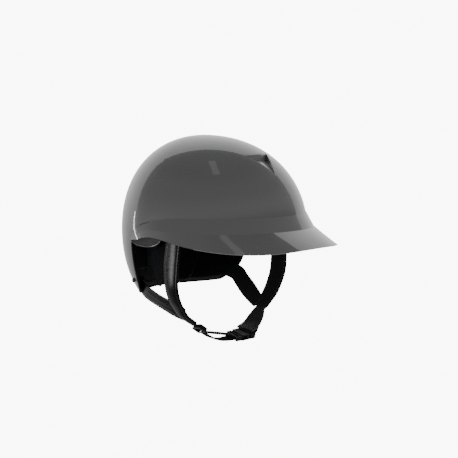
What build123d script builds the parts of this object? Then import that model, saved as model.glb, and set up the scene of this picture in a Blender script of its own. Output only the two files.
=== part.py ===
"""Equestrian riding helmet: glossy shell, wide peak, padded liner and leather chin harness.

Millimetres. +Z is up, the front of the helmet faces -Y and the wearer's right is -X.
The origin lies on the middle plane, under the crown, at the widest level of the shell.
"""
import math
import os

from build123d import *

os.makedirs("parts", exist_ok=True)

# ---------------------------------------------------------------- driving dimensions
SHELL_FRONT = 153.0        # origin to the shell's front
SHELL_REAR = 115.0         # origin to the shell's back
SHELL_HALF_WIDTH = 106.0
CROWN_HEIGHT = 124.0
LOWER_HEIGHT = 130.0       # virtual depth that sets how the shell tucks in below the origin
ROUND_POWER = 2.15         # squareness of the vertical section
ARC_FULLNESS = 0.598       # control point share that gives the same squareness to a cubic arc
SHELL_THICKNESS = 2.8
FOAM_GAP = 0.5
FOAM_THICKNESS = 17.5
PAD_GAP = 0.6
PAD_THICKNESS = 7.5

PEAK_REACH = 197.5         # origin to the peak's front edge
PEAK_HALF_WIDTH = 113.4
PEAK_POWER = 2.26
PEAK_THICKNESS = 2.6
SKIRT_END_ANGLE = 106.5    # plan angle from straight ahead to the skirt's rear corner

VENT_HALF_WIDTH = 22.5
VENT_REAR_Y = -87.5
VENT_REAR_BOW = 4.0        # how far the rear edge bows forwards, so that it looks straight on the dome
VENT_TIP_Y = -126.0
VENT_TIP_Z = 76.0
VENT_SINK_ANGLE = 10.0
VENT_WALL = 1.4

STRAP_THICKNESS = 3.2
STRAP_X = 97.5             # middle of the hanging front strap, from the middle plane
FRONT_PIVOT_Y = -38.0
FRONT_PIVOT_Z = 8.0
REAR_ANCHOR_Y = 46.0
REAR_ANCHOR_Z = -64.0
RIVET_RADIUS = 2.0

WEB_WIDTH = 15.0
WEB_THICKNESS = 1.6
BUCKLE_TILT = 15.0
BUCKLE_CENTRE = (0.0, -57.0, -135.0)


# ---------------------------------------------------------------- shared shapes
def section_radius(z, half_width, top, bottom):
    """Half width of the dome at height z."""
    reach = top if z >= 0 else bottom
    return half_width * (1 - (abs(z) / reach) ** ROUND_POWER) ** (1 / ROUND_POWER)


def dome(inset):
    """Solid under the shell's outer surface, moved inwards by inset."""
    half_width = SHELL_HALF_WIDTH - inset
    top = CROWN_HEIGHT - inset
    bottom = LOWER_HEIGHT - inset
    full = ARC_FULLNESS
    with BuildPart() as turned:
        with BuildSketch(Plane.XZ):
            with BuildLine():
                Bezier((0, top), (full * half_width, top), (half_width, full * top), (half_width, 0))
                Bezier((half_width, 0), (half_width, -full * bottom), (full * half_width, -bottom),
                       (0, -bottom))
                Line((0, -bottom), (0, top))
            make_face()
        revolve(axis=Axis.Z)
    front = scale(turned.part, by=(1, (SHELL_FRONT - inset) / half_width, 1))
    rear = scale(turned.part, by=(1, (SHELL_REAR - inset) / half_width, 1))
    front = split(front, bisect_by=Plane.XZ, keep=Keep.TOP)
    rear = split(rear, bisect_by=Plane.XZ, keep=Keep.BOTTOM)
    return split(front + rear, bisect_by=Plane.XY.offset(-100.0), keep=Keep.TOP)


def side_region(lower_edge, top=160.0):
    """Block across the helmet, kept above a lower edge drawn in the side view.

    lower_edge is a list of runs; each run is a list of (y, z) points joined smoothly.
    """
    first = lower_edge[0][0]
    last = lower_edge[-1][-1]
    with BuildPart() as region:
        with BuildSketch(Plane.YZ):
            with BuildLine():
                for run in lower_edge:
                    if len(run) == 2:
                        Line(run[0], run[1])
                    else:
                        Spline(*run)
                Polyline(last, (last[0], top), (first[0], top), first)
            make_face()
        extrude(amount=160.0, both=True)
    return region.part


def side_prism(outline, x_low, x_high):
    """Block between two X values whose side view is the closed outline of runs."""
    with BuildPart() as prism:
        with BuildSketch(Plane.YZ.offset(x_low)):
            with BuildLine():
                for run in outline:
                    if len(run) == 2:
                        Line(run[0], run[1])
                    else:
                        Spline(*run)
            make_face()
        extrude(amount=x_high - x_low)
    return prism.part


def front_ribbon(path, thickness, y_low, y_high):
    """Strap that follows a path in the front view (x, z) and runs straight along Y."""
    half = thickness / 2
    offsets = []
    for index, point in enumerate(path):
        before = path[max(index - 1, 0)]
        after = path[min(index + 1, len(path) - 1)]
        dx = after[0] - before[0]
        dz = after[1] - before[1]
        size = math.hypot(dx, dz)
        offsets.append((point, (-dz / size * half, dx / size * half)))
    upper = [(p[0] + n[0], p[1] + n[1]) for p, n in offsets]
    lower = [(p[0] - n[0], p[1] - n[1]) for p, n in offsets]
    with BuildPart() as ribbon:
        with BuildSketch(Plane.XZ.offset(-y_high)):
            with BuildLine():
                Spline(*upper)
                Line(upper[-1], lower[-1])
                Spline(*reversed(lower))
                Line(lower[0], upper[0])
            make_face()
        extrude(amount=y_high - y_low)
    return ribbon.part


def save(piece, name):
    """Label a finished piece and write its file."""
    piece.label = name
    export_step(piece, "parts/" + name + ".step")


# ---------------------------------------------------------------- shell edge lines, side view (y, z)
CREASE_RUN = [(-175.0, 29.5), (-130.0, 27.0), (-56.0, 25.3), (-17.0, 21.0), (5.0, 15.5), (20.0, 8.0),
              (28.0, 0.0), (31.5, -8.0)]
REAR_FRONT_RUN = [(31.5, -8.0), (32.0, -37.0), (33.5, -55.0), (37.0, -69.0), (47.0, -81.0)]
REAR_BOTTOM_RUN = [(47.0, -81.0), (80.0, -84.0), (125.0, -81.0)]


def moved(run, dy, dz):
    """The same run of points, shifted."""
    return [(y + dy, z + dz) for y, z in run]


outer_0 = dome(0.0)
outer_inner = dome(SHELL_THICKNESS)
foam_outer = dome(SHELL_THICKNESS + FOAM_GAP)
foam_inner = dome(SHELL_THICKNESS + FOAM_GAP + FOAM_THICKNESS)
pad_outer = dome(SHELL_THICKNESS + FOAM_GAP + FOAM_THICKNESS + PAD_GAP)
pad_inner = dome(SHELL_THICKNESS + FOAM_GAP + FOAM_THICKNESS + PAD_GAP + PAD_THICKNESS)


# ---------------------------------------------------------------- front vent recess
def vent_prism(inset, z_low):
    """Upright prism over the recess: straight rear edge, two sides meeting at the front tip."""
    half = VENT_HALF_WIDTH - inset
    with BuildPart() as prism:
        with BuildSketch(Plane.XY.offset(z_low)):
            with BuildLine():
                rear = ThreePointArc((-half, VENT_REAR_Y - inset), (0, VENT_REAR_Y - inset - VENT_REAR_BOW),
                                     (half, VENT_REAR_Y - inset))
                side_line = Line(rear @ 1, (0, VENT_TIP_Y + inset * 1.8))
                Line(side_line @ 1, rear @ 0)
            make_face()
        extrude(amount=150.0 - z_low)
    return prism.part


def sunk_dome(extra):
    """The dome turned about the recess tip, so that its surface sinks towards the rear."""
    tip = Location((0, VENT_TIP_Y, VENT_TIP_Z))
    back = Location((0, -VENT_TIP_Y, -VENT_TIP_Z))
    return tip * Rot(-VENT_SINK_ANGLE, 0, 0) * back * dome(extra)


recess_floor_body = sunk_dome(0.6)
recess_under_body = sunk_dome(3.0)
recess_cut = vent_prism(0.0, 40.0)
recess_hollow = vent_prism(VENT_WALL + 0.2, 40.0) - recess_floor_body
recess_pocket = vent_prism(-0.3, 40.0) - sunk_dome(3.4)
vent_block = (vent_prism(0.2, 40.0) & dome(0.15)) - recess_hollow - recess_under_body

# ---------------------------------------------------------------- outer shell
shell_keep = side_region([CREASE_RUN, REAR_FRONT_RUN, REAR_BOTTOM_RUN])
with BuildPart() as outer_shell:
    add(outer_0)
    add(outer_inner, mode=Mode.SUBTRACT)
    add(shell_keep, mode=Mode.INTERSECT)
    add(recess_cut, mode=Mode.SUBTRACT)
    with Locations(Plane.YZ.location * Location((REAR_ANCHOR_Y, REAR_ANCHOR_Z, 0))):
        Cylinder(RIVET_RADIUS + 0.15, 300, mode=Mode.SUBTRACT)
save(outer_shell.part, "outer_shell")

with BuildPart() as front_vent_insert:
    add(vent_block)
save(front_vent_insert.part, "front_vent_insert")

# ---------------------------------------------------------------- peak and skirt
CREASE_HEIGHTS = {0: 29.0, 12: 28.7, 24: 28.0, 36: 27.0, 48: 26.3, 60: 25.6, 70: 24.2, 80: 21.6, 88: 17.5,
                  95: 13.1, 101: 7.4, SKIRT_END_ANGLE: -3.8}
BRIM_HEIGHTS = {0: -6.0, 12: -8.0, 24: -11.0, 36: -11.0, 48: -9.0, 60: -5.5, 70: -2.0, 80: 0.0, 88: -1.0,
                95: -4.0, 101: -6.5, SKIRT_END_ANGLE: -8.0}


def plan_radius(degrees, half_width, front, rear, power):
    """Distance from the Z axis to a plan curve, in a direction measured from straight ahead."""
    angle = math.radians(degrees)
    along = abs(math.cos(angle))
    across = abs(math.sin(angle))
    length = front if degrees <= 90 else rear
    return ((across / half_width) ** power + (along / length) ** power) ** (-1 / power)


def shell_radius(degrees, z):
    """Distance from the Z axis to the shell's outer surface."""
    shrink = section_radius(z, 1.0, CROWN_HEIGHT, LOWER_HEIGHT)
    return shrink * plan_radius(degrees, SHELL_HALF_WIDTH, SHELL_FRONT, SHELL_REAR, 2.0)


def brim_radius(degrees, z):
    """Distance from the Z axis to the peak's edge, closing on to the shell at the skirt's end."""
    shell = shell_radius(degrees, z) + 1.2
    peak = plan_radius(min(degrees, 90), PEAK_HALF_WIDTH, PEAK_REACH, PEAK_REACH, PEAK_POWER)
    share = min(max((degrees - 62) / (SKIRT_END_ANGLE - 62), 0), 1)
    share = share * share * (3 - 2 * share)
    return peak * (1 - share) + shell * share


def skirt_section(degrees):
    """Closed loop of (radius, z) corners: crease, band foot, edge, then back along the inside."""
    z_top = CREASE_HEIGHTS[degrees]
    z_low = BRIM_HEIGHTS[degrees]
    r_top = shell_radius(degrees, z_top) + 0.5
    r_low = brim_radius(degrees, z_low)
    fade = max(math.cos(math.radians(min(degrees, 90))), 0) ** 0.8
    r_foot = (r_top + r_low) / 2 + fade * (r_top + 9.5 - (r_top + r_low) / 2)
    z_foot = (z_top + z_low) / 2 + fade * (z_top - 17.5 - (z_top + z_low) / 2)
    z_foot = z_foot - (1 - fade) * 0.6
    lean = 0.35 + 0.65 * (1 - fade)
    inner_top = (r_top - PEAK_THICKNESS, z_top - 0.9)
    inner_foot = (r_foot - PEAK_THICKNESS * (0.6 + 0.4 * lean), z_foot - PEAK_THICKNESS * (1 - 0.9 * lean))
    inner_low = (r_low - PEAK_THICKNESS * (0.5 + 0.35 * lean), z_low - PEAK_THICKNESS * 0.45 * (1 - lean))
    return [(r_top, z_top), (r_foot, z_foot), (r_low, z_low), inner_low, inner_foot, inner_top]


skirt_angles = list(CREASE_HEIGHTS.keys())
signed_angles = [-a for a in reversed(skirt_angles[1:])] + skirt_angles
with BuildPart() as skirt_raw:
    for signed in signed_angles:
        heading = math.radians(signed)
        outward = Vector(-math.sin(heading), -math.cos(heading), 0)
        corner_points = [outward * r + Vector(0, 0, z) for r, z in skirt_section(abs(signed))]
        section_plane = Plane(origin=(0, 0, 0), x_dir=outward, z_dir=outward.cross(Vector(0, 0, 1)))
        with BuildSketch(section_plane):
            with BuildLine():
                Polyline(*[section_plane.to_local_coords(p) for p in corner_points], close=True)
            make_face()
    loft()

shell_clear = dome(-0.35) & side_region([moved(CREASE_RUN, 0, -0.4), moved(REAR_FRONT_RUN, 0, -0.4),
                                         moved(REAR_BOTTOM_RUN, 0, -0.4)])
with BuildPart() as peak_and_skirt:
    add(skirt_raw.part)
    add(shell_clear, mode=Mode.SUBTRACT)
save(peak_and_skirt.part, "peak_and_skirt")

# ---------------------------------------------------------------- edge trim of the rear shell
TRIM_HEIGHT = 2.2
trim_outer_runs = [moved(REAR_FRONT_RUN, -TRIM_HEIGHT, -TRIM_HEIGHT * 0.5),
                   [(47.0 - TRIM_HEIGHT, -81.0 - TRIM_HEIGHT * 0.5), (80.0, -84.0 - TRIM_HEIGHT),
                    (125.0, -81.0 - TRIM_HEIGHT)]]
trim_clear = side_region([moved(REAR_FRONT_RUN, -0.1, -0.1),
                          [(46.9, -81.1), (80.0, -84.1), (125.0, -81.1)]], top=-7.0)
with BuildPart() as rear_edge_trim:
    add(dome(-0.5))
    add(outer_inner, mode=Mode.SUBTRACT)
    add(side_region(trim_outer_runs, top=-7.0), mode=Mode.INTERSECT)
    add(trim_clear, mode=Mode.SUBTRACT)
    with Locations((0, 30.0, 39.0)):
        Box(300.0, 60.0, 100.0, mode=Mode.SUBTRACT)
save(rear_edge_trim.part, "rear_edge_trim")

# ---------------------------------------------------------------- shock-absorbing liner
FOAM_EDGE = [[(-160.0, 4.0), (-110.0, 3.0), (-60.0, 2.0), (-40.0, -3.0), (-24.0, -11.0), (0.0, -13.5),
              (27.0, -16.0)],
             [(27.0, -16.0), (29.0, -36.0), (38.0, -48.0), (57.0, -52.0), (66.0, -62.0), (82.0, -76.0),
              (125.0, -77.0)]]
with BuildPart() as foam_liner:
    add(foam_outer)
    add(foam_inner, mode=Mode.SUBTRACT)
    add(side_region(FOAM_EDGE), mode=Mode.INTERSECT)
    add(recess_pocket, mode=Mode.SUBTRACT)
    for side in (-1, 1):
        with Locations((side * 98.5, FRONT_PIVOT_Y, -4.0)):
            Box(10.4, 42.0, 50.0, mode=Mode.SUBTRACT)
save(foam_liner.part, "foam_liner")

# ---------------------------------------------------------------- comfort padding
pad_skin = pad_outer - pad_inner
with BuildPart() as brow_pad:
    add(pad_skin)
    add(side_prism([[(-150.0, -3.0), (-31.5, -6.0)], [(-31.5, -6.0), (-31.5, 15.0)],
                    [(-31.5, 15.0), (-70.0, 30.0)], [(-70.0, 30.0), (-150.0, 34.0)],
                    [(-150.0, 34.0), (-150.0, -3.0)]], -120.0, 120.0), mode=Mode.INTERSECT)
save(brow_pad.part, "brow_pad")

SIDE_PAD_OUTLINE = [[(-30.5, 15.0), (-30.5, -5.0)],
                    [(-30.5, -5.0), (-20.0, -29.0), (-6.0, -50.0), (11.0, -65.0), (30.0, -74.0), (62.5, -77.5)],
                    [(62.5, -77.5), (62.5, 15.0)], [(62.5, 15.0), (-30.5, 15.0)]]
with BuildPart() as side_pad_right:
    add(pad_skin)
    add(side_prism(SIDE_PAD_OUTLINE, -120.0, 0.0), mode=Mode.INTERSECT)
save(side_pad_right.part, "side_pad_right")

with BuildPart() as side_pad_left:
    add(mirror(side_pad_right.part, about=Plane.YZ))
save(side_pad_left.part, "side_pad_left")

with BuildPart() as nape_pad:
    add(pad_skin)
    add(side_prism([[(63.5, -77.5), (63.5, 15.0)], [(63.5, 15.0), (120.0, 15.0)],
                    [(120.0, 15.0), (120.0, -76.0)], [(120.0, -76.0), (63.5, -77.5)]], -120.0, 120.0),
        mode=Mode.INTERSECT)
save(nape_pad.part, "nape_pad")

with BuildPart() as crown_pad:
    add(pad_skin)
    with BuildSketch(Plane.XY.offset(40.0)) as crown_shape:
        with Locations((0, -14.0)):
            Ellipse(24.0, 68.0)
            Ellipse(50.0, 24.0)
    extrude(amount=80.0, mode=Mode.INTERSECT)
save(crown_pad.part, "crown_pad")


# ---------------------------------------------------------------- chin harness, wearer's right side first
FRONT_STRAP_PATH = [(-97.5, 16.0), (-97.8, -10.0), (-97.8, -36.0), (-95.0, -62.0), (-87.5, -80.0),
                    (-80.0, -91.0), (-71.0, -103.0), (-58.5, -113.0)]
FRONT_STRAP_OUTLINE = [[(-51.0, 16.0), (-25.0, 16.0)],
                       [(-25.0, 16.0), (-25.5, -40.0), (-24.5, -65.0), (-22.0, -88.0), (-25.0, -103.0),
                        (-33.0, -120.0)],
                       [(-33.0, -120.0), (-44.0, -120.0)],
                       [(-44.0, -120.0), (-42.5, -103.0), (-43.0, -87.0), (-47.5, -62.0), (-51.0, -40.0),
                        (-51.0, 16.0)]]
REAR_STRAP_TOP_VIEW = [(-70.2, 55.0), (-73.8, 46.0), (-76.4, 38.0), (-79.2, 27.0), (-81.8, 12.0),
                       (-82.2, -2.0), (-80.5, -12.0), (-76.5, -24.0)]
REAR_STRAP_OUTLINE = [[(54.0, -73.0), (54.0, -57.0)],
                      [(54.0, -57.0), (28.0, -63.0), (2.0, -74.5), (-12.0, -83.0), (-20.6, -88.5)],
                      [(-20.6, -88.5), (-24.2, -103.5)],
                      [(-24.2, -103.5), (-10.0, -97.0), (5.0, -88.0), (28.0, -78.5), (54.0, -73.0)]]


def anchor_hole(y, z):
    """Cutter for a rivet that runs along X."""
    with BuildPart() as cutter:
        with Locations(Plane.YZ.location * Location((y, z, 0))):
            Cylinder(RIVET_RADIUS + 0.15, 260)
    return cutter.part


front_strap_solid = (front_ribbon(FRONT_STRAP_PATH, STRAP_THICKNESS, -60.0, -15.0)
                     & side_prism(FRONT_STRAP_OUTLINE, -120.0, -20.0))
front_strap_solid = front_strap_solid - anchor_hole(FRONT_PIVOT_Y, FRONT_PIVOT_Z)


def top_ribbon(path, thickness, z_low, z_high):
    """Strap that follows a path in the top view (x, y) and runs straight along Z."""
    half = thickness / 2
    upper = []
    lower = []
    for index, point in enumerate(path):
        before = path[max(index - 1, 0)]
        after = path[min(index + 1, len(path) - 1)]
        dx = after[0] - before[0]
        dy = after[1] - before[1]
        size = math.hypot(dx, dy)
        upper.append((point[0] - dy / size * half, point[1] + dx / size * half))
        lower.append((point[0] + dy / size * half, point[1] - dx / size * half))
    with BuildPart() as ribbon:
        with BuildSketch(Plane.XY.offset(z_low)):
            with BuildLine():
                Spline(*upper)
                Line(upper[-1], lower[-1])
                Spline(*reversed(lower))
                Line(lower[0], upper[0])
            make_face()
        extrude(amount=z_high - z_low)
    return ribbon.part


rear_strap_solid = (top_ribbon(REAR_STRAP_TOP_VIEW, 2.6, -115.0, -50.0)
                    & side_prism(REAR_STRAP_OUTLINE, -120.0, -20.0))
rear_strap_solid = rear_strap_solid - anchor_hole(REAR_ANCHOR_Y, REAR_ANCHOR_Z)

with BuildPart() as front_strap_right:
    add(front_strap_solid)
save(front_strap_right.part, "front_strap_right")

with BuildPart() as front_strap_left:
    add(mirror(front_strap_solid, about=Plane.YZ))
save(front_strap_left.part, "front_strap_left")

with BuildPart() as rear_strap_right:
    add(rear_strap_solid)
save(rear_strap_right.part, "rear_strap_right")

with BuildPart() as rear_strap_left:
    add(mirror(rear_strap_solid, about=Plane.YZ))
save(rear_strap_left.part, "rear_strap_left")

# ---------------------------------------------------------------- strap anchors
with BuildPart() as front_anchor_right:
    with Locations((-99.9, FRONT_PIVOT_Y + 1.0, FRONT_PIVOT_Z + 1.0)):
        Box(1.0, 19.0, 15.0)
    fillet(front_anchor_right.edges().filter_by(Axis.X), 4.0)
    with Locations(Plane.YZ.location * Location((FRONT_PIVOT_Y, FRONT_PIVOT_Z, -97.6))):
        Cylinder(RIVET_RADIUS, 6.0)
    with Locations(Plane.YZ.location * Location((FRONT_PIVOT_Y, FRONT_PIVOT_Z, -94.9))):
        Cylinder(5.0, 1.2)
save(front_anchor_right.part, "front_anchor_right")

with BuildPart() as front_anchor_left:
    add(mirror(front_anchor_right.part, about=Plane.YZ))
save(front_anchor_left.part, "front_anchor_left")

with BuildPart() as rear_anchor_right:
    with Locations(Plane.YZ.location * Location((REAR_ANCHOR_Y, REAR_ANCHOR_Z, -78.2))):
        Cylinder(RIVET_RADIUS, 15.2)
    with Locations(Plane.YZ.location * Location((REAR_ANCHOR_Y, REAR_ANCHOR_Z, -86.3))):
        Cylinder(3.0, 1.4)
    chamfer(rear_anchor_right.faces().sort_by(Axis.X)[0].edges(), 0.6)
    with Locations(Plane.YZ.location * Location((REAR_ANCHOR_Y, REAR_ANCHOR_Z, -70.5))):
        Cylinder(3.4, 1.0)
save(rear_anchor_right.part, "rear_anchor_right")

with BuildPart() as rear_anchor_left:
    add(mirror(rear_anchor_right.part, about=Plane.YZ))
save(rear_anchor_left.part, "rear_anchor_left")


# ---------------------------------------------------------------- chin webbing, slider and buckle
def plan_outline(rear_edge, front_edge):
    """Upright block whose top view lies between a rear edge and a front edge (x, y)."""
    with BuildPart() as block:
        with BuildSketch(Plane.XY.offset(-160.0)):
            with BuildLine():
                Spline(*rear_edge)
                Line(rear_edge[-1], front_edge[0])
                Spline(*front_edge)
                Line(front_edge[-1], rear_edge[0])
            make_face()
        extrude(amount=80.0)
    return block.part


web_plan = plan_outline([(-57.5, -33.0), (-45.0, -37.0), (-25.0, -44.5), (-3.0, -49.5)],
                        [(-3.0, -64.5), (-25.0, -59.5), (-45.0, -52.0), (-57.5, -44.0)])
with BuildPart() as chin_webbing:
    add(front_ribbon([(-56.6, -115.0), (-51.5, -120.2), (-45.0, -125.0), (-25.0, -130.8), (-9.8, -132.6)],
                     WEB_THICKNESS, -80.0, -20.0))
    add(web_plan, mode=Mode.INTERSECT)
save(chin_webbing.part, "chin_webbing")

with BuildPart() as chin_webbing_return:
    add(front_ribbon([(-44.5, -129.0), (-36.0, -135.0), (-24.0, -138.4), (-9.8, -137.4)],
                     WEB_THICKNESS, -80.0, -20.0))
    add(web_plan, mode=Mode.INTERSECT)
save(chin_webbing_return.part, "chin_webbing_return")

slider_plane = Plane(origin=(-51.3, -41.6, -120.3), x_dir=(0.711, -0.343, -0.613), z_dir=(0.653, 0, 0.757))
with BuildPart() as webbing_slider:
    with BuildSketch(slider_plane.offset(-2.9)):
        RectangleRounded(12.0, 21.0, 2.5)
        Rectangle(7.4, 16.6, mode=Mode.SUBTRACT)
    extrude(amount=5.8)
    with BuildSketch(slider_plane.offset(-1.8)):
        Rectangle(20.0, 16.6)
    extrude(amount=3.6, mode=Mode.SUBTRACT)
    with BuildSketch(slider_plane.offset(1.8)):
        Rectangle(2.4, 17.0)
    extrude(amount=1.1)
save(webbing_slider.part, "webbing_slider")

buckle_plane = Plane(origin=BUCKLE_CENTRE, x_dir=(1, 0, 0),
                     z_dir=(0, -math.sin(math.radians(BUCKLE_TILT)), math.cos(math.radians(BUCKLE_TILT))))
BUCKLE_HALF = 10.5

with BuildPart() as buckle_tongue:
    with BuildSketch(buckle_plane.offset(-2.8)):
        with Locations((-4.4, 0)):
            RectangleRounded(9.4, 2 * BUCKLE_HALF, 1.6)
            Rectangle(4.0, 16.4, mode=Mode.SUBTRACT)
    extrude(amount=5.6)
    with BuildSketch(buckle_plane.offset(-1.7)):
        with Locations((6.0, 0)):
            Rectangle(12.0, 3.0)
    extrude(amount=3.4)
save(buckle_tongue.part, "buckle_tongue")


def prong(side):
    """Sprung arm of the tongue with a rounded barb on its outer side."""
    with BuildPart() as arm:
        with BuildSketch(buckle_plane.offset(-1.9)):
            with BuildLine():
                Polyline((0.7, side * 5.4), (14.5, side * 5.9), (16.0, side * 7.6), (14.6, side * 9.9),
                         (10.5, side * 10.3), (9.8, side * 8.2), (0.7, side * 8.6), close=True)
            make_face()
        extrude(amount=3.8)
    return arm.part


with BuildPart() as buckle_prong_rear:
    add(prong(1))
save(buckle_prong_rear.part, "buckle_prong_rear")

with BuildPart() as buckle_prong_front:
    add(prong(-1))
save(buckle_prong_front.part, "buckle_prong_front")

with BuildPart() as buckle_socket:
    with BuildSketch(buckle_plane.offset(-3.8)):
        with Locations((14.2, 0)):
            RectangleRounded(26.4, 2 * BUCKLE_HALF, 2.0)
    extrude(amount=7.6)
    with BuildSketch(buckle_plane.offset(-2.3)):
        with Locations((8.5, 0)):
            Rectangle(19.0, 40.0)
    extrude(amount=4.6, mode=Mode.SUBTRACT)
    with BuildSketch(buckle_plane.offset(-5.0)):
        with Locations((22.7, 0)):
            Rectangle(3.4, 16.4)
    extrude(amount=10.0, mode=Mode.SUBTRACT)
save(buckle_socket.part, "buckle_socket")

with BuildPart() as socket_webbing:
    add(front_ribbon([(28.0, -135.0), (36.0, -133.0), (46.0, -126.5), (57.2, -116.0)], WEB_THICKNESS, -80.0, -20.0))
    add(plan_outline([(27.8, -49.5), (36.0, -46.0), (46.0, -41.0), (58.0, -34.5)],
                     [(58.0, -43.0), (46.0, -55.0), (36.0, -60.5), (27.8, -64.0)]), mode=Mode.INTERSECT)
save(socket_webbing.part, "socket_webbing")

with BuildPart() as buckle_pad:
    add(front_ribbon([(56.2, -111.2), (46.0, -119.0), (34.0, -124.0), (20.0, -126.4), (3.0, -126.8)],
                     2.6, -80.0, -20.0))
    add(plan_outline([(56.5, -32.0), (40.0, -36.0), (20.0, -42.5), (3.0, -46.5)],
                     [(3.0, -68.5), (20.0, -66.0), (40.0, -58.5), (56.5, -52.0)]), mode=Mode.INTERSECT)
save(buckle_pad.part, "buckle_pad")
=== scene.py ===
"""Equestrian riding helmet: the look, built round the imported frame.

Lengths are in the frame's metres, except in the padding, the ear edges and the tables of strap edges, which are
in millimetres.
"""
import math

import bpy
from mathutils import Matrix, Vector

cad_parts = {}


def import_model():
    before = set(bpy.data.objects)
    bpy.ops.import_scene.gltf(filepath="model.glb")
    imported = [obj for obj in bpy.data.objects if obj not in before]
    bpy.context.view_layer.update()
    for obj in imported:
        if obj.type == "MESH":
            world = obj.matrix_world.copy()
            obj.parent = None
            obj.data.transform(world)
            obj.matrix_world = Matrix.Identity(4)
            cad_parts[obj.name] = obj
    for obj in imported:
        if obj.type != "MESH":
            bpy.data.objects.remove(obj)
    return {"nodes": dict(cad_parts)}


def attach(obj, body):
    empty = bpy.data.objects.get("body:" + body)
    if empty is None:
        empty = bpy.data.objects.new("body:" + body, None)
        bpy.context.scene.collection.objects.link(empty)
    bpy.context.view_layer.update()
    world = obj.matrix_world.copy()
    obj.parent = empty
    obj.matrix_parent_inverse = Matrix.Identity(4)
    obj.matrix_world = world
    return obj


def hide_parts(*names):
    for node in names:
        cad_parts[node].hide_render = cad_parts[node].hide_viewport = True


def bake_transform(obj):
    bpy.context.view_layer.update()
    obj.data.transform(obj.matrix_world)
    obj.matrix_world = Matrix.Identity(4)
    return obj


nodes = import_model()["nodes"]
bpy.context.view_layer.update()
MM = 0.001

# ------------------------------------------------------------------ materials


def new_material(name, colour, roughness, specular):
    """Material with its node tree and its shader node."""
    mat = bpy.data.materials.new(name)
    mat.use_nodes = True
    tree = mat.node_tree
    bsdf = tree.nodes["Principled BSDF"]
    bsdf.inputs["Base Color"].default_value = (*colour, 1)
    bsdf.inputs["Roughness"].default_value = roughness
    bsdf.inputs["Specular IOR Level"].default_value = specular
    return mat, tree, bsdf


def texture(tree, kind, source="Object", **values):
    """Texture node on the object's own or its UV coordinates."""
    coords = tree.nodes.new("ShaderNodeTexCoord")
    node = tree.nodes.new(kind)
    tree.links.new(coords.outputs[source], node.inputs["Vector"])
    for key, value in values.items():
        node.inputs[key.replace("_", " ")].default_value = value
    return node


def bump(tree, bsdf, height_socket, strength, distance, previous=None):
    """Bump the shader's normal, over a previous bump if one is given."""
    node = tree.nodes.new("ShaderNodeBump")
    node.inputs["Strength"].default_value = strength
    node.inputs["Distance"].default_value = distance
    tree.links.new(height_socket, node.inputs["Height"])
    if previous is not None:
        tree.links.new(previous.outputs["Normal"], node.inputs["Normal"])
    tree.links.new(node.outputs["Normal"], bsdf.inputs["Normal"])
    return node


def colour_ramp(tree, socket, bsdf, low, high, start, end, target="Base Color"):
    """Feed a shader input from low to high as the socket goes from start to end."""
    ramp = tree.nodes.new("ShaderNodeValToRGB")
    ramp.color_ramp.elements[0].position = start
    ramp.color_ramp.elements[1].position = end
    ramp.color_ramp.elements[0].color = (*low, 1)
    ramp.color_ramp.elements[1].color = (*high, 1)
    tree.links.new(socket, ramp.inputs["Fac"])
    tree.links.new(ramp.outputs["Color"], bsdf.inputs[target])


def make_gloss(name, colour):
    """Painted shell: fine flake under a clear coat."""
    mat, tree, bsdf = new_material(name, colour, 0.3, 0.15)
    bsdf.inputs["Coat Weight"].default_value = 1.0
    bsdf.inputs["Coat Roughness"].default_value = 0.02
    bsdf.inputs["Coat IOR"].default_value = 1.55
    flake = texture(tree, "ShaderNodeTexNoise", Scale=2200.0, Detail=2.0)
    colour_ramp(tree, flake.outputs["Fac"], bsdf, [c * 0.94 for c in colour], [c * 1.06 for c in colour], 0.3, 0.7)
    return mat


def make_leather(name, colour, roughness, specular):
    """Smooth leather: fine grain over shallow wrinkles."""
    mat, tree, bsdf = new_material(name, colour, roughness, specular)
    grain = texture(tree, "ShaderNodeTexVoronoi", Scale=1400.0)
    wrinkle = texture(tree, "ShaderNodeTexNoise", Scale=160.0, Detail=5.0)
    first = bump(tree, bsdf, grain.outputs["Distance"], 0.12, 0.0002)
    bump(tree, bsdf, wrinkle.outputs["Fac"], 0.12, 0.0005, first)
    colour_ramp(tree, wrinkle.outputs["Fac"], bsdf, (roughness - 0.04,) * 3, (roughness + 0.05,) * 3, 0.3, 0.7,
                "Roughness")
    return mat


def make_suede(name, colour):
    """Napped inner side of the straps."""
    mat, tree, bsdf = new_material(name, colour, 0.95, 0.08)
    bsdf.inputs["Sheen Weight"].default_value = 0.05
    bsdf.inputs["Sheen Roughness"].default_value = 0.6
    nap = texture(tree, "ShaderNodeTexNoise", Scale=900.0, Detail=6.0)
    bump(tree, bsdf, nap.outputs["Fac"], 0.6, 0.0005)
    colour_ramp(tree, nap.outputs["Fac"], bsdf, [c * 0.7 for c in colour], [c * 1.5 for c in colour], 0.3, 0.7)
    return mat


def make_knit(name, colour):
    """Padded lining cloth: fine diagonal cells with a soft sheen."""
    mat, tree, bsdf = new_material(name, colour, 0.9, 0.08)
    bsdf.inputs["Sheen Weight"].default_value = 0.04
    bsdf.inputs["Sheen Roughness"].default_value = 0.5
    cells = texture(tree, "ShaderNodeTexVoronoi", Scale=620.0)
    cloth = texture(tree, "ShaderNodeTexNoise", Scale=60.0, Detail=3.0)
    first = bump(tree, bsdf, cells.outputs["Distance"], 0.8, 0.0008)
    bump(tree, bsdf, cloth.outputs["Fac"], 0.3, 0.0015, first)
    colour_ramp(tree, cells.outputs["Distance"], bsdf, [c * 1.4 for c in colour], [c * 0.5 for c in colour],
                0.1, 0.6)
    return mat


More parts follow.
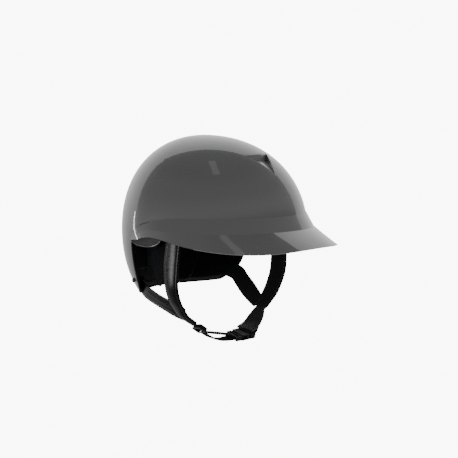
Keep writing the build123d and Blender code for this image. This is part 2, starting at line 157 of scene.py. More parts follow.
def make_webbing(name, colour):
    """Woven band: rows across the length and columns across the width, from the strap's own coordinates."""
    mat, tree, bsdf = new_material(name, colour, 0.75, 0.05)
    bsdf.inputs["Sheen Weight"].default_value = 0.04
    rows = texture(tree, "ShaderNodeTexWave", "UV", Scale=180.0, Distortion=0.0)
    rows.bands_direction = "X"
    columns = texture(tree, "ShaderNodeTexWave", "UV", Scale=130.0, Distortion=0.0)
    columns.bands_direction = "Y"
    mix = tree.nodes.new("ShaderNodeMath")
    mix.operation = "MULTIPLY"
    tree.links.new(rows.outputs["Fac"], mix.inputs[0])
    tree.links.new(columns.outputs["Fac"], mix.inputs[1])
    bump(tree, bsdf, mix.outputs[0], 0.9, 0.0006)
    colour_ramp(tree, mix.outputs[0], bsdf, [c * 0.45 for c in colour], [c * 1.5 for c in colour], 0.0, 0.8)
    return mat


def make_moulded(name, colour, roughness):
    """Moulded plastic with a faint texture."""
    mat, tree, bsdf = new_material(name, colour, roughness, 0.16)
    pits = texture(tree, "ShaderNodeTexNoise", Scale=1100.0, Detail=3.0)
    bump(tree, bsdf, pits.outputs["Fac"], 0.12, 0.0003)
    return mat


def make_foam(name, colour):
    """Shock-absorbing foam with its bead pattern."""
    mat, tree, bsdf = new_material(name, colour, 0.75, 0.15)
    beads = texture(tree, "ShaderNodeTexVoronoi", Scale=260.0)
    bump(tree, bsdf, beads.outputs["Distance"], 0.5, 0.0006)
    return mat


SHELL = make_gloss("shell_gloss", (0.058, 0.058, 0.0585))
# The vent insert is a lighter copy of the shell's gloss: its lighter colour is painted fill light in the vent's
# recess.
LIT_VENT_GLOSS = make_gloss("vent_lit_gloss", (0.11, 0.11, 0.111))
TRIM = make_moulded("edge_trim", (0.006, 0.006, 0.006), roughness=0.45)
FOAM = make_foam("foam_cover", (0.0035, 0.0035, 0.0038))
KNIT = make_knit("padding_knit", (0.006, 0.0065, 0.009))
LEATHER = make_leather("strap_leather", (0.003, 0.003, 0.0034), roughness=0.28, specular=0.27)
PAD_LEATHER = make_leather("pad_leather", (0.012, 0.012, 0.0125), roughness=0.6, specular=0.5)
SUEDE = make_suede("strap_suede", (0.006, 0.006, 0.006))
WEBBING = make_webbing("webbing_weave", (0.006, 0.006, 0.006))
PLASTIC = make_moulded("buckle_plastic", (0.005, 0.005, 0.005), roughness=0.38)
# The ear edge's sheet is darker than the shell's own colour: painted shade under the flared skirt.
SHADED_SATIN = make_moulded("ear_edge_shaded_satin", (0.02, 0.02, 0.02), roughness=0.5)
STEEL = new_material("coated_steel", (0.006, 0.006, 0.006), roughness=0.35, specular=0.2)[0]
THREAD = make_webbing("stitch_thread", (0.1, 0.1, 0.105))

BEVEL_SEGMENTS = 3
SHARP_EDGE = math.radians(40)


def dress(node, material, bevel=0.0):
    """Give a CAD object its material and, for a bevel above 0, softened edges."""
    obj = nodes[node]
    obj.data.materials.clear()
    obj.data.materials.append(material)
    if bevel:
        mod = obj.modifiers.new("edge", "BEVEL")
        mod.width = bevel
        mod.segments = BEVEL_SEGMENTS
        mod.limit_method = "ANGLE"
        mod.angle_limit = SHARP_EDGE


dress("outer_shell", SHELL)
dress("peak_and_skirt", SHELL, bevel=0.0007)
dress("front_vent_insert", LIT_VENT_GLOSS)
dress("rear_edge_trim", TRIM)
dress("foam_liner", FOAM)
dress("webbing_slider", PLASTIC, bevel=0.0013)
for name in ("buckle_tongue", "buckle_prong_front", "buckle_prong_rear", "buckle_socket"):
    dress(name, PLASTIC, bevel=0.0006)
for name in ("front_anchor_right", "front_anchor_left", "rear_anchor_right", "rear_anchor_left"):
    dress(name, STEEL)

# ------------------------------------------------------------------ mesh helpers


def add_mesh(name, points, faces, materials, uvs=None, face_materials=None):
    """Smooth-shaded object; uvs is by point and face_materials by face."""
    mesh = bpy.data.meshes.new(name)
    mesh.from_pydata([tuple(p) for p in points], [], faces)
    for mat in materials:
        mesh.materials.append(mat)
    if uvs is not None:
        layer = mesh.uv_layers.new(name="UVMap")
        for loop in mesh.loops:
            layer.data[loop.index].uv = uvs[loop.vertex_index]
    for index, poly in enumerate(mesh.polygons):
        poly.use_smooth = True
        if face_materials is not None:
            poly.material_index = face_materials[index]
    mesh.update()
    obj = bpy.data.objects.new(name, mesh)
    bpy.context.scene.collection.objects.link(obj)
    return obj


def tube_faces(rings, around, base=0):
    """Quads between closed rings of points that follow one another from point number base."""
    faces = []
    for i in range(rings - 1):
        a = base + i * around
        for k in range(around):
            n = (k + 1) % around
            faces.append((a + k, a + n, a + around + n, a + around + k))
    return faces


def spline_points(controls, count):
    """Points along a smooth curve through the controls; each control is a tuple of numbers."""
    out = []
    spans = len(controls) - 1
    for i in range(count + 1):
        t = i / count * spans
        k = min(int(t), spans - 1)
        f = t - k
        p1 = controls[k]
        p2 = controls[k + 1]
        p0 = controls[k - 1] if k > 0 else tuple(2 * a - b for a, b in zip(p1, p2))
        p3 = controls[k + 2] if k + 2 <= spans else tuple(2 * b - a for a, b in zip(p1, p2))
        out.append(tuple(0.5 * (2 * b + (c - a) * f + (2 * a - 5 * b + 4 * c - d) * f * f
                                + (3 * b - a - 3 * c + d) * f ** 3)
                         for a, b, c, d in zip(p0, p1, p2, p3)))
    return out


def strap_frame(controls, count):
    """Centre, tangent, width direction, normal, half width and length so far at each step.

    A control is x, y, z on one edge of the strap, then x, y, z on its other edge, in millimetres.
    """
    rows = []
    for x1, y1, z1, x2, y2, z2 in spline_points(controls, count):
        a = Vector((x1, y1, z1)) * MM
        b = Vector((x2, y2, z2)) * MM
        rows.append(((a + b) / 2, b - a))
    steps = []
    length = 0.0
    for i, (centre, across) in enumerate(rows):
        before = rows[max(i - 1, 0)][0]
        after = rows[min(i + 1, count)][0]
        tangent = (after - before).normalized()
        width = across.length
        side = (across - tangent * across.dot(tangent)).normalized()
        if i:
            length += (centre - rows[i - 1][0]).length
        steps.append((centre, tangent, side, tangent.cross(side), width / 2, length))
    return steps


SIDE_ROUNDING = 0.55
FACE_ROUNDING = 0.42
STITCH_GROOVE_DEPTH = 0.00045
STITCH_GROOVE_WIDTH = 0.0007
RIDGE_HEIGHT = 0.0007
RIDGE_WIDTH = 0.0011
RIM_WIDTH = 0.0016


def build_strap(name, steps, thickness, materials, around=44, rim=0.0, groove=None, ridges=(), puff=0.0):
    """Band with rounded edges and closed ends.

    The first material covers the face on the normal's side and the last covers the other face.
    rim is the extra height at the edges, groove a stitch line's distance from each edge, ridges the places of
    raised lines as parts of the half width, and puff the extra height in the middle of both faces.
    """
    points = []
    uvs = []
    for centre, _tangent, side, normal, half, length in steps:
        for k in range(around):
            angle = 2 * math.pi * k / around
            c = math.cos(angle)
            s = math.sin(angle)
            across = half * math.copysign(abs(c) ** SIDE_ROUNDING, c)
            out = math.copysign(abs(s) ** FACE_ROUNDING, s)
            to_edge = half - abs(across)
            height = (thickness / 2 + puff * (1 - (across / half) ** 2)) * out
            if groove is not None:
                height -= out * STITCH_GROOVE_DEPTH * math.exp(-((to_edge - groove) / STITCH_GROOVE_WIDTH) ** 2)
            for place in ridges:
                height += out * RIDGE_HEIGHT * math.exp(-((across - place * half) / RIDGE_WIDTH) ** 2)
            height += out * rim * math.exp(-(to_edge / RIM_WIDTH) ** 2)
            points.append(centre + side * across + normal * height)
            uvs.append((length, across))
    faces = tube_faces(len(steps), around)
    one_ring = [0 if (k + 0.5) / around < 0.5 else len(materials) - 1 for k in range(around)]
    which = one_ring * (len(steps) - 1)
    faces.append(tuple(range(around)))
    faces.append(tuple(reversed(range((len(steps) - 1) * around, len(steps) * around))))
    which += [0, 0]
    return add_mesh(name, points, faces, materials, uvs, which)


STITCH_PITCH = 0.0042
STITCH_LENGTH = 0.0028
STITCH_RADIUS = 0.00045
STITCH_START = 0.004
STITCH_SINK = 0.0002
STITCH_ARCH = 0.0001
STITCH_END_SIZE = 0.35
STITCH_RINGS = 5
STITCH_SIDES = 8


def build_stitches(name, steps, inset, thickness):
    """Rows of short threads at the inset from each edge, on both faces."""
    points = []
    faces = []
    count = int((steps[-1][5] - 2 * STITCH_START) / STITCH_PITCH)
    for out in (-1, 1):
        for edge in (-1, 1):
            lane = 0
            for i in range(count):
                target = STITCH_START + i * STITCH_PITCH
                while steps[lane + 1][5] < target:
                    lane += 1
                a, b = steps[lane], steps[lane + 1]
                f = (target - a[5]) / max(b[5] - a[5], 1e-9)
                centre = a[0].lerp(b[0], f)
                side = a[2].lerp(b[2], f).normalized()
                normal = a[3].lerp(b[3], f).normalized()
                tangent = a[1].lerp(b[1], f).normalized()
                half = a[4] + (b[4] - a[4]) * f
                middle = centre + side * edge * (half - inset) + normal * out * (thickness / 2 - STITCH_SINK)
                base = len(points)
                for r in range(STITCH_RINGS):
                    along = (r / (STITCH_RINGS - 1) - 0.5) * STITCH_LENGTH
                    bow = 1 - (2 * along / STITCH_LENGTH) ** 2
                    size = STITCH_RADIUS * max(STITCH_END_SIZE, math.sqrt(max(0.0, bow)))
                    for k in range(STITCH_SIDES):
                        angle = 2 * math.pi * k / STITCH_SIDES
                        points.append(middle + tangent * along + side * size * math.cos(angle)
                                      + normal * (size * math.sin(angle) + out * STITCH_ARCH * bow))
                faces += tube_faces(STITCH_RINGS, STITCH_SIDES, base)
                last = base + (STITCH_RINGS - 1) * STITCH_SIDES
                faces.append(tuple(base + k for k in reversed(range(STITCH_SIDES))))
                faces.append(tuple(last + k for k in range(STITCH_SIDES)))
    return add_mesh(name, points, faces, [THREAD])


# ------------------------------------------------------------------ padding
ROUND = 2.15
HALF_WIDTH = 106.0
FRONT_REACH = 153.0
REAR_REACH = 115.0
TOP_REACH = 124.0
LOW_REACH = 130.0
PAD_INSET = 21.4
PAD_DEPTH = 7.5


def form_share(z, inset):
    """How wide the shell's form is at a height, as a part of its greatest width."""
    reach = (TOP_REACH if z >= 0 else LOW_REACH) - inset
    return (1 - min(abs(z) / reach, 0.9999) ** ROUND) ** (1 / ROUND)


def form_length(in_front, inset):
    """Reach of the shell's form to the front or to the rear."""
    return (FRONT_REACH if in_front else REAR_REACH) - inset


def dome_point(angle, z, inset):
    """Point on the shell's form moved inwards; angle 0 is the front, positive towards -X."""
    share = form_share(z, inset)
    length = form_length(math.cos(angle) > 0, inset)
    return Vector((-(HALF_WIDTH - inset) * share * math.sin(angle), -length * share * math.cos(angle), z))


def angle_at(y, z):
    """Plan angle, at the padding's outer face, of the point on the right side whose y is given."""
    length = form_length(y < 0, PAD_INSET)
    return math.acos(max(-1.0, min(1.0, -y / (length * form_share(z, PAD_INSET)))))


END_SHARPNESS = 14
EDGE_SHARPNESS = 9


def build_pad(name, node, place, quilts, columns, rows, puff, flip=False):
    """Closed cushion in place of a CAD pad.

    place(u, v) gives plan angle and z, quilts(u, v) the depth of the grooves, and puff is the extra height in
    the middle. flip mirrors the cushion to the left side.
    """
    points = []
    for layer in (0, 1):
        for i in range(columns + 1):
            for j in range(rows + 1):
                u = i / columns
                v = j / rows
                angle, z = place(u, v)
                edge = (1 - abs(2 * u - 1) ** END_SHARPNESS) * (1 - abs(2 * v - 1) ** EDGE_SHARPNESS)
                edge = max(edge, 0.0) ** 0.5
                middle = PAD_INSET + PAD_DEPTH / 2
                if layer == 0:
                    depth = middle - edge * PAD_DEPTH / 2
                else:
                    swell = puff * (1 - (2 * v - 1) ** 2) * edge
                    depth = middle + edge * PAD_DEPTH / 2 + swell - quilts(u, v) * edge
                p = dome_point(angle, z, depth)
                if flip:
                    p.x = -p.x
                points.append(p * MM)
    faces = []
    stride = rows + 1
    half = (columns + 1) * stride
    for i in range(columns):
        for j in range(rows):
            a = i * stride + j
            faces.append((a, a + 1, a + stride + 1, a + stride))
            faces.append((half + a, half + a + stride, half + a + stride + 1, half + a + 1))
    rim = [(i, 0) for i in range(columns + 1)] + [(columns, j) for j in range(1, rows + 1)]
    rim += [(i, rows) for i in range(columns - 1, -1, -1)] + [(0, j) for j in range(rows - 1, 0, -1)]
    for k, (i, j) in enumerate(rim):
        next_i, next_j = rim[(k + 1) % len(rim)]
        a = i * stride + j
        b = next_i * stride + next_j
        faces.append((a, b, half + b, half + a))
    if flip:
        faces = [tuple(reversed(f)) for f in faces]
    obj = add_mesh(name, points, faces, [KNIT])
    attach(obj, "helmet")
    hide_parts(node)


def groove(value, place, width, depth):
    """Depth of a quilting groove at a value."""
    return depth * math.exp(-((value - place) / width) ** 2)


def interpolate(table, value):
    """Straight lines between (place, value) pairs, flat beyond the ends."""
    for (a, b), (c, d) in zip(table, table[1:]):
        if value <= c:
            return b + (d - b) * max((value - a) / (c - a), 0.0)
    return table[-1][1]


BROW_REAR_Y = -32.5
BROW_REAR_Z = 5.0
BROW_TOP = [(-132.0, 34.0), (-70.0, 30.0), (-31.5, 15.5)]
BROW_LOW = -3.0
BROW_DIP = 3.0


def brow_place(u, v):
    turn = u * 2 - 1
    angle = turn * angle_at(BROW_REAR_Y, BROW_REAR_Z)
    top = interpolate(BROW_TOP, -form_length(True, PAD_INSET) * math.cos(angle))
    low = BROW_LOW - BROW_DIP * turn ** 2
    return angle, low + (top - low) * v


# y and z of the side pads' lower edges, from front to rear
LOWER_SIDE = [(-30.5, -5.0), (-26.0, -16.0), (-20.0, -29.0), (-13.0, -41.0), (-6.0, -50.0), (3.0, -59.0),
              (11.0, -65.0), (20.0, -70.0), (30.0, -74.0), (46.0, -76.5), (62.5, -77.5)]
LOWER_SIDE_LEFT = [(-30.5, -5.0), (-20.0, -17.0), (-10.0, -28.5), (-2.0, -38.0), (2.0, -46.0), (4.0, -54.0),
                   (7.0, -61.5), (16.0, -68.5), (30.0, -72.5), (46.0, -75.0), (62.5, -76.0)]
SIDE_FRONT_Y = -30.5
SIDE_LENGTH = 93.0
PAD_TOP_Z = 15.0


def side_place(u, v, edge=LOWER_SIDE):
    y = SIDE_FRONT_Y + SIDE_LENGTH * u
    low = interpolate(edge, y)
    z = low + (PAD_TOP_Z - low) * v
    return angle_at(y, z), z


def left_place(u, v):
    return side_place(u, v, LOWER_SIDE_LEFT)


NAPE_FRONT_Y = 63.5
NAPE_LOW_Z = -77.0


def nape_place(u, v):
    z = NAPE_LOW_Z + (PAD_TOP_Z - NAPE_LOW_Z) * v
    start = angle_at(NAPE_FRONT_Y, z)
    return start + (2 * math.pi - 2 * start) * u, z


UPPER_SEAM = 0.78


def side_quilt(u, v):
    return groove(v, UPPER_SEAM, 0.02, 1.2) + groove(u, 0.62, 0.012, 1.6) * (v < UPPER_SEAM + 0.01)


def brow_quilt(u, v):
    return sum(groove(u, k / 6, 0.006, 2.0) for k in range(1, 6))


def nape_quilt(u, v):
    return groove(v, UPPER_SEAM, 0.02, 2.0) + groove(u, 0.5, 0.008, 2.0)


build_pad("brow_cushion", "brow_pad", brow_place, brow_quilt, columns=180, rows=40, puff=1.0)
build_pad("side_cushion_right", "side_pad_right", side_place, side_quilt, columns=110, rows=90, puff=1.6)
build_pad("side_cushion_left", "side_pad_left", left_place, side_quilt, columns=110, rows=90, puff=1.6, flip=True)
build_pad("nape_cushion", "nape_pad", nape_place, nape_quilt, columns=130, rows=90, puff=1.6)

CROWN_RINGS = 60
CROWN_SPOKES = 200
LONG_LOBE = (24.0, 68.0)
WIDE_LOBE = (50.0, 24.0)
LOBE_BLEND = 8
LOBE_MARGIN = 1.0
CROWN_SHIFT_Y = -14.0
CROWN_EDGE_SHARPNESS = 10
CROWN_PUFF = 0.8


def lobe(sizes, c, s):
    """Reach of an ellipse in the direction whose cosine and sine are given."""
    return 1 / math.sqrt((c / sizes[0]) ** 2 + (s / sizes[1]) ** 2)


def build_crown():
    """Crown cushion: a cross of two rounded lobes under the top of the foam."""
    points = []
    for layer in (0, 1):
        for i in range(CROWN_RINGS + 1):
            r = i / CROWN_RINGS
            for k in range(CROWN_SPOKES):
                angle = 2 * math.pi * k / CROWN_SPOKES
                c = math.cos(angle)
                s = math.sin(angle)
                reach = (lobe(LONG_LOBE, c, s) ** LOBE_BLEND + lobe(WIDE_LOBE, c, s) ** LOBE_BLEND) ** (1 / LOBE_BLEND)
                x = r * (reach - LOBE_MARGIN) * c
                y = r * (reach - LOBE_MARGIN) * s + CROWN_SHIFT_Y
                edge = math.sqrt(max(0.0, 1 - r ** CROWN_EDGE_SHARPNESS))
                if layer == 0:
                    inset = PAD_INSET + PAD_DEPTH / 2 * (1 - edge)
                else:
                    inset = PAD_INSET + PAD_DEPTH / 2 * (1 + edge) + CROWN_PUFF * edge * (1 - r * r)
                plan = math.hypot(x / (HALF_WIDTH - inset), y / form_length(y < 0, inset))
                z = (TOP_REACH - inset) * (1 - plan ** ROUND) ** (1 / ROUND)
                points.append(Vector((x, y, z)) * MM)
    faces = []
    half = (CROWN_RINGS + 1) * CROWN_SPOKES
    for i in range(CROWN_RINGS):
        for k in range(CROWN_SPOKES):
            n = (k + 1) % CROWN_SPOKES
            a, b = i * CROWN_SPOKES + k, i * CROWN_SPOKES + n
            c, d = b + CROWN_SPOKES, a + CROWN_SPOKES
            faces.append((a, d, c, b))
            faces.append((half + a, half + b, half + c, half + d))
    for k in range(CROWN_SPOKES):
        a = CROWN_RINGS * CROWN_SPOKES + k
        b = CROWN_RINGS * CROWN_SPOKES + (k + 1) % CROWN_SPOKES
        faces.append((a, half + a, half + b, b))
    obj = add_mesh("crown_cushion", points, faces, [KNIT])
    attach(obj, "helmet")
    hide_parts("crown_pad")


build_crown()

# ------------------------------------------------------------------ straps
# Each row is x, y, z on the rear or lower edge, then x, y, z on the front or upper edge.
FRONT_EDGES = [(-96.5, -31.0, 15.0, -96.5, -56.0, 15.0), (-97.6, -29.5, -10.0, -97.6, -55.0, -10.0),
               (-97.8, -26.0, -36.0, -97.8, -51.6, -36.0), (-95.0, -24.7, -62.0, -95.0, -47.5, -62.0),
               (-87.5, -22.8, -80.0, -87.5, -44.5, -80.0), (-80.0, -22.4, -91.0, -80.0, -42.8, -91.0),
               (-71.0, -25.5, -103.0, -71.0, -42.6, -103.0), (-58.5, -33.2, -113.2, -58.5, -44.0, -113.2)]
FRONT_EDGES_LEFT = [(95.2, -30.0, 15.0, 95.2, -56.0, 15.0), (96.0, -30.5, -10.0, 96.0, -57.5, -10.0),
                    (97.0, -30.8, -38.0, 97.0, -58.6, -38.0), (95.0, -30.6, -62.0, 95.0, -58.0, -62.0),
                    (88.0, -29.5, -81.0, 88.0, -53.5, -86.0), (81.5, -28.0, -93.5, 81.5, -49.6, -98.0),
                    (72.5, -30.0, -105.0, 72.5, -45.5, -109.5), (60.0, -34.0, -112.0, 60.0, -45.0, -113.6)]
REAR_EDGES_RIGHT = [(-69.5, 51.0, -79.5, -71.5, 52.0, -59.0), (-71.5, 40.5, -87.0, -77.0, 38.0, -64.5),
                    (-72.5, 28.0, -91.6, -81.5, 22.0, -70.0), (-72.0, 6.0, -98.4, -82.0, 3.5, -77.0),
                    (-70.0, -15.0, -104.5, -80.0, -12.0, -83.0), (-66.5, -27.0, -108.5, -77.0, -25.0, -88.5),
                    (-64.0, -33.0, -110.0, -74.0, -32.0, -92.0)]
REAR_EDGES_LEFT = [(69.0, 54.0, -73.0, 71.5, 52.0, -57.0), (73.0, 38.0, -75.0, 78.0, 32.0, -57.5),
                   (73.5, 22.7, -78.0, 82.5, 10.7, -61.5), (72.0, 13.0, -85.5, 82.0, -1.5, -71.5),
                   (70.5, 2.0, -94.5, 80.5, -15.0, -82.0), (68.0, -13.5, -104.0, 78.0, -27.0, -91.0),
                   (65.0, -28.0, -110.5, 75.0, -36.0, -98.0)]
LEATHER_THICK = 0.0032
REAR_LEATHER_THICK = 0.0026
WEBBING_THICK = 0.0025
STRAP_STITCH_INSET = 0.0026
PAD_STITCH_INSET = 0.0022
PUFF_UNDER_STITCHES = 0.0009

for side_name, front_edges, rear_edges in (("right", FRONT_EDGES, REAR_EDGES_RIGHT),
                                           ("left", FRONT_EDGES_LEFT, REAR_EDGES_LEFT)):
    steps = strap_frame(front_edges, 150)
    materials = [SUEDE, LEATHER] if side_name == "left" else [LEATHER, SUEDE]
    band = build_strap("front_leather_strap_" + side_name, steps, LEATHER_THICK, materials, around=64,
                       rim=0.0002, groove=STRAP_STITCH_INSET, puff=0.0019)
    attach(band, "chin_harness")
    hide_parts("front_strap_" + side_name)
    thread = build_stitches("front_strap_stitching_" + side_name, steps, STRAP_STITCH_INSET,
                            LEATHER_THICK + PUFF_UNDER_STITCHES)
    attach(thread, "chin_harness")
    steps = strap_frame(rear_edges, 110)
    band = build_strap("rear_leather_strap_" + side_name, steps, REAR_LEATHER_THICK, materials, around=64,
                       ridges=(-0.35, 0.35), puff=0.0006)
    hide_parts("rear_strap_" + side_name)
    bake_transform(band)

# Each row is x, y, z on the rear edge, then x, y, z on the front edge.
WEB_EDGES = [(-62.0, -32.6, -110.4, -62.0, -42.2, -110.4), (-57.0, -34.0, -114.4, -57.0, -43.5, -114.8),
             (-51.5, -35.6, -119.9, -51.5, -48.0, -120.3), (-46.5, -37.2, -123.5, -46.5, -50.8, -124.1),
             (-41.0, -39.4, -125.6, -41.0, -53.0, -126.2), (-27.0, -44.2, -128.2, -27.0, -58.4, -129.0),
             (-15.0, -47.4, -130.6, -15.0, -61.4, -132.2), (-7.8, -48.7, -132.2, -7.8, -63.0, -135.6)]
RETURN_EDGES = [(-46.4, -37.8, -126.2, -46.4, -51.0, -126.8), (-41.0, -39.4, -130.2, -41.0, -53.0, -131.0),
                (-34.0, -41.8, -133.8, -34.0, -55.6, -134.8), (-25.0, -45.0, -136.2, -25.0, -58.8, -137.4),
                (-15.0, -47.0, -136.2, -15.0, -61.0, -138.2), (-7.8, -48.4, -134.8, -7.8, -62.6, -138.2)]
SOCKET_EDGES = [(26.0, -49.5, -133.0, 26.0, -64.0, -136.8), (36.0, -46.5, -132.2, 36.0, -60.0, -134.5),
                (46.0, -41.5, -126.0, 46.0, -54.5, -127.5), (57.0, -35.0, -116.0, 57.0, -43.5, -116.5),
                (62.0, -34.2, -111.4, 62.0, -43.4, -112.6)]
for piece_name, edges, node, to_tongue in (("woven_chin_web", WEB_EDGES, "chin_webbing", True),
                                           ("woven_return_web", RETURN_EDGES, "chin_webbing_return", True),
                                           ("woven_socket_web", SOCKET_EDGES, "socket_webbing", False)):
    band = build_strap(piece_name, strap_frame(edges, 90), WEBBING_THICK, [WEBBING], around=36)
    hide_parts(node)
    if to_tongue:
        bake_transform(band)
    else:
        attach(band, "chin_harness")

PAD_EDGES = [(60.0, -34.9, -109.5, 60.0, -51.0, -109.5), (50.0, -35.2, -116.0, 50.0, -57.5, -118.5),
             (40.0, -38.0, -121.5, 40.0, -61.5, -125.3), (29.0, -41.5, -125.0, 29.0, -65.0, -130.0),
             (16.0, -45.5, -126.6, 16.0, -67.5, -132.2)]
steps = strap_frame(PAD_EDGES, 110)
band = build_strap("buckle_leather_pad", steps, LEATHER_THICK, [PAD_LEATHER, SUEDE], rim=0.0004,
                   groove=PAD_STITCH_INSET)
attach(band, "chin_harness")
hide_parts("buckle_pad")
thread = build_stitches("buckle_pad_stitching", steps, PAD_STITCH_INSET, LEATHER_THICK)
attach(thread, "chin_harness")

# ------------------------------------------------------------------ rolled edge above each ear
# y and z of the rolled edge, from rear to front
EAR_EDGE = [(32.0, -9.4), (26.0, -11.6), (18.0, -13.0), (8.0, -13.6), (-4.0, -13.0), (-13.0, -11.2),
            (-20.0, -8.4), (-25.5, -3.6)]
EAR_SHEET_TOP = 2.0
EAR_SHEET_INSET = 1.7
EAR_SHEET_ROWS = 6
ROLL_RADIUS = 0.0009
ROLL_SIDES = 10


def build_ear_edge(name, side):
    """Satin return of the skirt above the ear, darker than the shell as painted shade under the skirt: a thin sheet
    that ends in a glossy rolled edge.
    """
    points = []
    faces = []
    which = []
    path = spline_points(EAR_EDGE, 70)
    for y, z in path:
        for row in range(EAR_SHEET_ROWS):
            height = EAR_SHEET_TOP + (z - EAR_SHEET_TOP) * row / (EAR_SHEET_ROWS - 1)
            share = form_share(height, 0)
            reach = HALF_WIDTH * share * math.sqrt(1 - (y / (form_length(y < 0, 0) * share)) ** 2)
            points.append(Vector((side * (reach - EAR_SHEET_INSET), y, height)) * MM)
        centre = points[-1]
        for k in range(ROLL_SIDES):
            angle = math.pi * (0.5 + 2 * k / ROLL_SIDES)
            points.append(centre + Vector((side * math.sin(angle), 0, math.cos(angle))) * ROLL_RADIUS)
    stride = EAR_SHEET_ROWS + ROLL_SIDES
    for i in range(len(path) - 1):
        a = i * stride
        b = a + stride
        for k in range(EAR_SHEET_ROWS - 1):
            faces.append((a + k, b + k, b + k + 1, a + k + 1))
            which.append(0)
        a += EAR_SHEET_ROWS
        b += EAR_SHEET_ROWS
        for k in range(ROLL_SIDES):
            n = (k + 1) % ROLL_SIDES
            faces.append((a + k, b + k, b + n, a + n))
            which.append(1)
    sheet = add_mesh(name, points, faces, [SHADED_SATIN, SHELL], face_materials=which)
    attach(sheet, "helmet")


build_ear_edge("ear_edge_right", -1)
build_ear_edge("ear_edge_left", 1)

# ------------------------------------------------------------------ studio
AZIMUTH = math.radians(-46.0)
ELEVATION = math.radians(7.14)
DISTANCE = 1.43376
ASIDE = 0.03159
BELOW = 0.00044
SENSOR_MM = 36.0
LENS_MM = 85.19345
TOWARDS = Vector((math.sin(AZIMUTH) * math.cos(ELEVATION), -math.cos(AZIMUTH) * math.cos(ELEVATION),
                  math.sin(ELEVATION)))
RIGHT = Vector((math.cos(AZIMUTH), math.sin(AZIMUTH), 0))
UP = TOWARDS.cross(RIGHT)
camera_data = bpy.data.cameras.new("camera")
camera = bpy.data.objects.new("camera", camera_data)
bpy.context.scene.collection.objects.link(camera)
camera_data.sensor_width = SENSOR_MM
camera_data.lens = LENS_MM
camera.location = TOWARDS * DISTANCE + RIGHT * ASIDE - UP * BELOW
camera.rotation_euler = TOWARDS.to_track_quat("Z", "Y").to_euler()
bpy.context.scene.camera = camera

# The surroundings are brighter above than below.
DIM_BELOW = -0.35
FULL_ABOVE = 0.12
LOW_LIGHT = 0.55
FULL_LIGHT = 1.3
world = bpy.data.worlds.new("studio")
bpy.context.scene.world = world
world.use_nodes = True
background = world.node_tree.nodes["Background"]
background.inputs["Color"].default_value = (1, 1, 1, 1)
heading = world.node_tree.nodes.new("ShaderNodeTexCoord")
split = world.node_tree.nodes.new("ShaderNodeSeparateXYZ")
level = world.node_tree.nodes.new("ShaderNodeMapRange")
for socket, value in (("From Min", DIM_BELOW), ("From Max", FULL_ABOVE), ("To Min", LOW_LIGHT),
                      ("To Max", FULL_LIGHT)):
    level.inputs[socket].default_value = value
world.node_tree.links.new(heading.outputs["Generated"], split.inputs[0])
world.node_tree.links.new(split.outputs["Z"], level.inputs["Value"])
world.node_tree.links.new(level.outputs["Result"], background.inputs["Strength"])

PAPER_GLOW = 9.3
CARD_RADIUS = 2.6
CARD_SPREAD = math.radians(109)
CARD_RINGS = 28
PANEL_RADIUS = 2.5
PANEL_STEPS = 12
ROUND_STEPS = 96
ROOM_AXIS = (0.0, 0.09, 0.3)
ROOM_START = 0.23
ROOM_STOPS = [(0.08, 0.14), (0.96, 0.14), (0.4, 0.6), (0.73, 0.32)]
WINDOW_CORNERS = [(-0.33, 0.58, 2.41), (-0.20, 0.43, 2.46), (-0.94, -0.20, 2.31), (-1.10, -0.01, 2.25)]


def glow(name, strength):
    """White emission."""
    mat = bpy.data.materials.new(name)
    mat.use_nodes = True
    tree = mat.node_tree
    tree.nodes.clear()
    emit = tree.nodes.new("ShaderNodeEmission")
    emit.inputs["Color"].default_value = (1, 1, 1, 1)
    emit.inputs["Strength"].default_value = strength
    out = tree.nodes.new("ShaderNodeOutputMaterial")
    tree.links.new(emit.outputs["Emission"], out.inputs["Surface"])
    return mat


def graded_glow(name, axis, start, stops):
    """Emission whose strength follows the position along an axis.

    The place is start plus the position's product with the axis; each stop is a place from 0 to 1 and a strength.
    The first two stops are the ends.
    """
    mat = glow(name, 1.0)
    tree = mat.node_tree
    place = tree.nodes.new("ShaderNodeTexCoord")
    along = tree.nodes.new("ShaderNodeVectorMath")
    along.operation = "DOT_PRODUCT"
    along.inputs[1].default_value = axis
    shift = tree.nodes.new("ShaderNodeMath")
    shift.operation = "ADD"
    shift.inputs[1].default_value = start
    ramp = tree.nodes.new("ShaderNodeValToRGB")
    ramp.color_ramp.interpolation = "EASE"
    for index, (position, strength) in enumerate(stops):
        stop = ramp.color_ramp.elements[index] if index < 2 else ramp.color_ramp.elements.new(position)
        stop.position = position
        stop.color = (strength, strength, strength, 1)
    tree.links.new(place.outputs["Object"], along.inputs[0])
    tree.links.new(along.outputs["Value"], shift.inputs[0])
    tree.links.new(shift.outputs[0], ramp.inputs["Fac"])
    tree.links.new(ramp.outputs["Color"], tree.nodes["Emission"].inputs["Strength"])
    return mat


def hang(name, points, faces, material, seen_in_gloss=True):
    """Put up a studio piece that is seen either only in reflections or only by the camera."""
    piece = add_mesh(name, points, faces, [material])
    piece.visible_camera = not seen_in_gloss
    piece.visible_glossy = seen_in_gloss
    piece.visible_diffuse = False
    piece.visible_shadow = False
    piece.visible_transmission = False


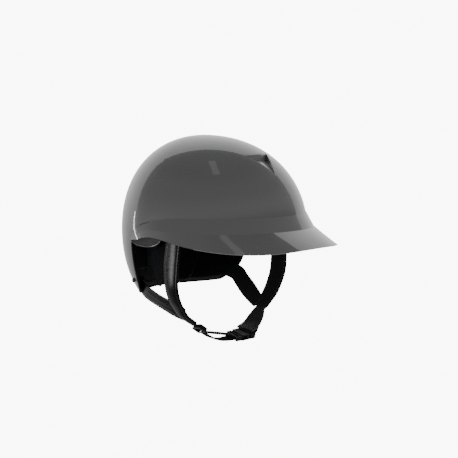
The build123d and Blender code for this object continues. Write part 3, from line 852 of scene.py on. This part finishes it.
def hang_sweep():
    """Pale floor that curves up all round into a pale wall, lit so evenly that it shows no shading."""
    profile = [(0.0, -0.42), (1.5, -0.42), (3.2, -0.42), (3.9, -0.3), (4.3, 0.1), (4.5, 1.0), (4.5, 4.0)]
    points = []
    for reach, z in profile:
        for k in range(ROUND_STEPS):
            turn = 2 * math.pi * k / ROUND_STEPS
            points.append((reach * math.cos(turn), reach * math.sin(turn), z))
    hang("floor_sweep", points, tube_faces(len(profile), ROUND_STEPS), glow("paper", PAPER_GLOW), False)


def hang_room():
    """Dim room that the gloss reflects: part of a sphere round the helmet."""
    first = TOWARDS.orthogonal().normalized()
    second = TOWARDS.cross(first)
    points = [TOWARDS * CARD_RADIUS]
    for i in range(1, CARD_RINGS + 1):
        tilt = CARD_SPREAD * i / CARD_RINGS
        for k in range(ROUND_STEPS):
            turn = 2 * math.pi * k / ROUND_STEPS
            sideways = first * math.cos(turn) + second * math.sin(turn)
            points.append((TOWARDS * math.cos(tilt) + sideways * math.sin(tilt)) * CARD_RADIUS)
    faces = [(0, 1 + k, 1 + (k + 1) % ROUND_STEPS) for k in range(ROUND_STEPS)]
    faces += tube_faces(CARD_RINGS, ROUND_STEPS, 1)
    hang("dark_room", points, faces, graded_glow("dark_room", ROOM_AXIS, ROOM_START, ROOM_STOPS))


def hang_panel(name, azimuths, elevations, strength):
    """Curved light between two headings and two elevations in degrees."""
    points = []
    for i in range(PANEL_STEPS + 1):
        for j in range(PANEL_STEPS + 1):
            turn = math.radians(azimuths[0] + (azimuths[1] - azimuths[0]) * i / PANEL_STEPS)
            rise = math.radians(elevations[0] + (elevations[1] - elevations[0]) * j / PANEL_STEPS)
            points.append((PANEL_RADIUS * math.sin(turn) * math.cos(rise),
                           -PANEL_RADIUS * math.cos(turn) * math.cos(rise), PANEL_RADIUS * math.sin(rise)))
    stride = PANEL_STEPS + 1
    faces = [(a, a + 1, a + stride + 1, a + stride)
             for i in range(PANEL_STEPS) for a in range(i * stride, i * stride + PANEL_STEPS)]
    hang(name, points, faces, glow(name, strength))


hang_sweep()
hang_room()
hang_panel("strip_light", (-159.6, -158.5), (-4.5, 4.0), strength=22.0)
hang_panel("side_softbox", (-132.0, -115.0), (-24.0, -2.0), strength=10.0)
hang("high_window", WINDOW_CORNERS, [(0, 1, 2, 3)], glow("high_window", strength=0.72))
